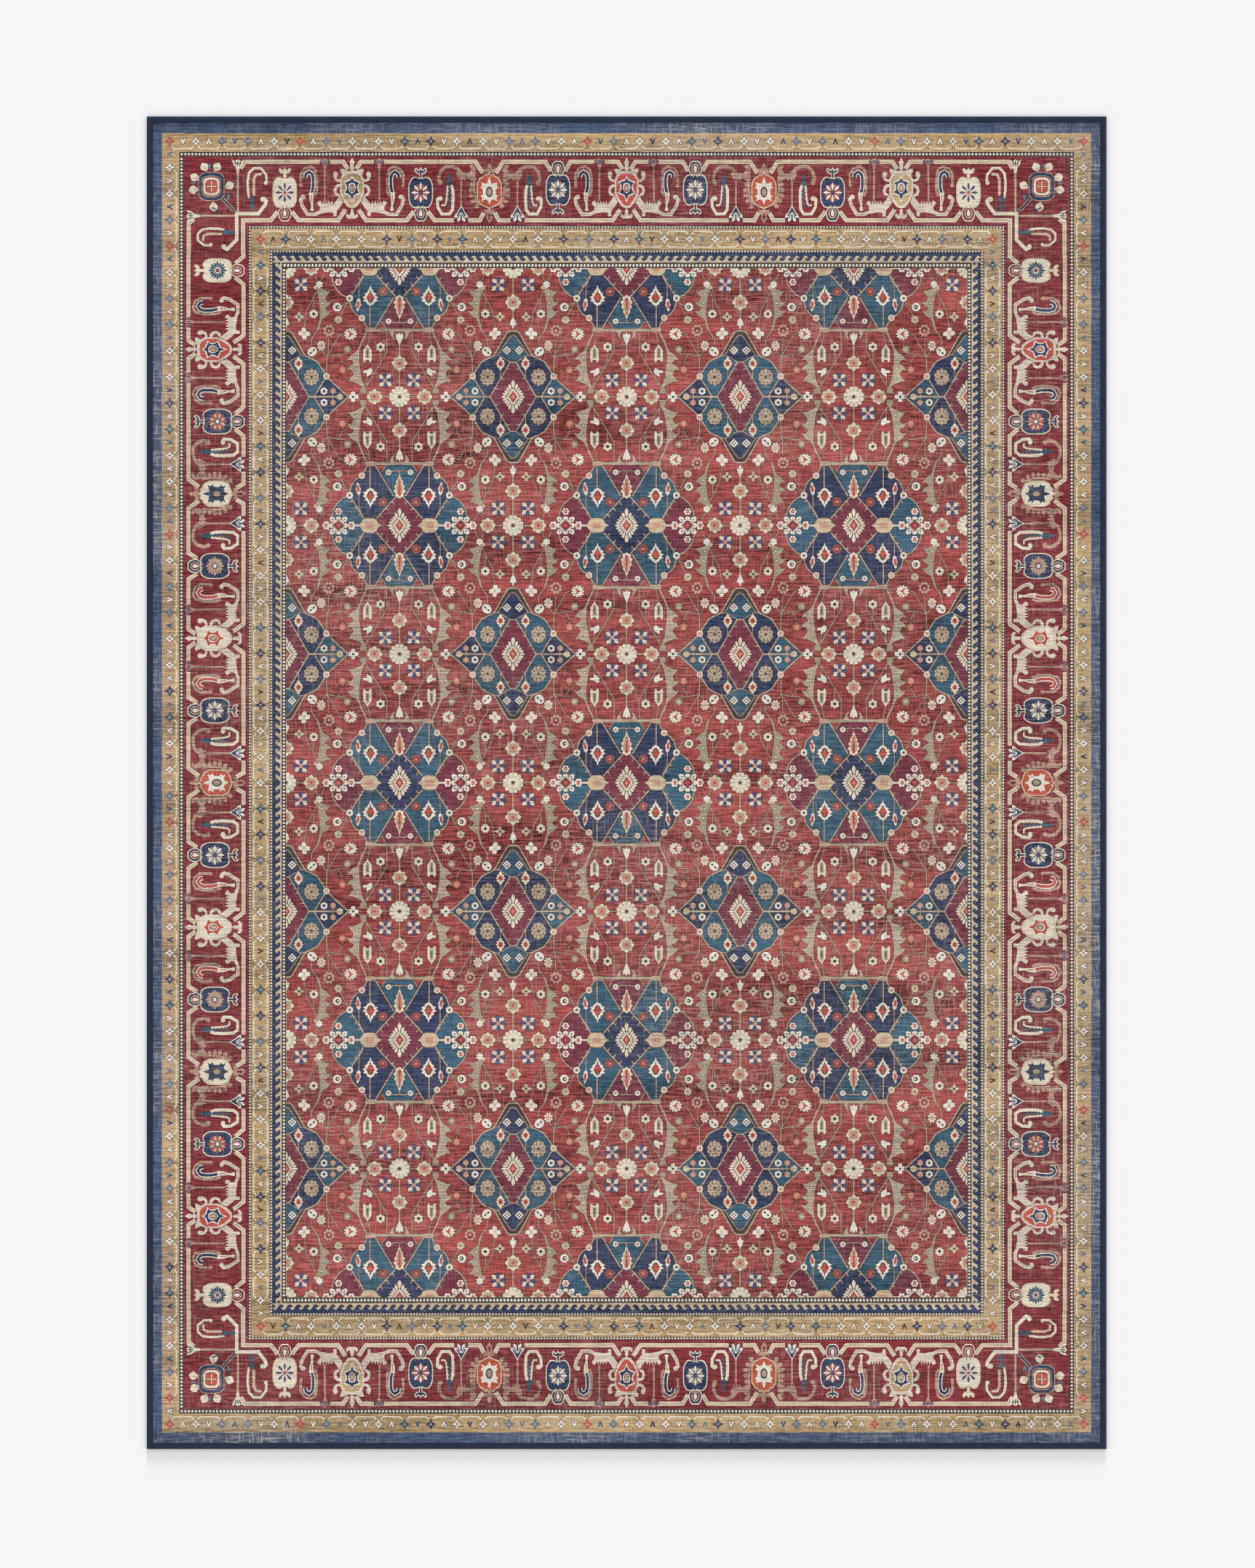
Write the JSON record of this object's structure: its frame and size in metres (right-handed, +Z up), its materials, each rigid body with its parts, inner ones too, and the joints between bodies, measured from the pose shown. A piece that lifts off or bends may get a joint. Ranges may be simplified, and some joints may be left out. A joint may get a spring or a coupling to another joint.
{
  "type": "area rug",
  "caption": "Flat rectangular area rug: patterned woven face over an interlining and a grip backing, with a stitched edge tape mitred at the corners.",
  "frame": {"origin": "middle of the underside, on the floor", "axes": "+X across the rug's width, +Y along its length towards the back edge, +Z up"},
  "size_m": [1.524, 2.117, 0.0063],
  "materials": {
    "face_print": "low matt weave, printed and washed out",
    "interlining_felt": "matt felt",
    "grip_rubber": "matt, raised grip dots",
    "label_satin": "satin, blank",
    "edge_tape": "matt ribbed tape",
    "seam_thread": "slight sheen"
  },
  "bodies": {
    "root": {"face_cloth": "face_print", "interlining": "interlining_felt", "grip_backing": "grip_rubber", "care_label": "label_satin", "binding_front": "edge_tape", "binding_right": "edge_tape", "binding_back": "edge_tape", "binding_left": "edge_tape", "needle_thread_front": "seam_thread", "needle_thread_right": "seam_thread", "needle_thread_back": "seam_thread", "needle_thread_left": "seam_thread", "bobbin_thread_front": "seam_thread", "bobbin_thread_right": "seam_thread", "bobbin_thread_back": "seam_thread", "bobbin_thread_left": "seam_thread"}
  },
  "joints": []
}
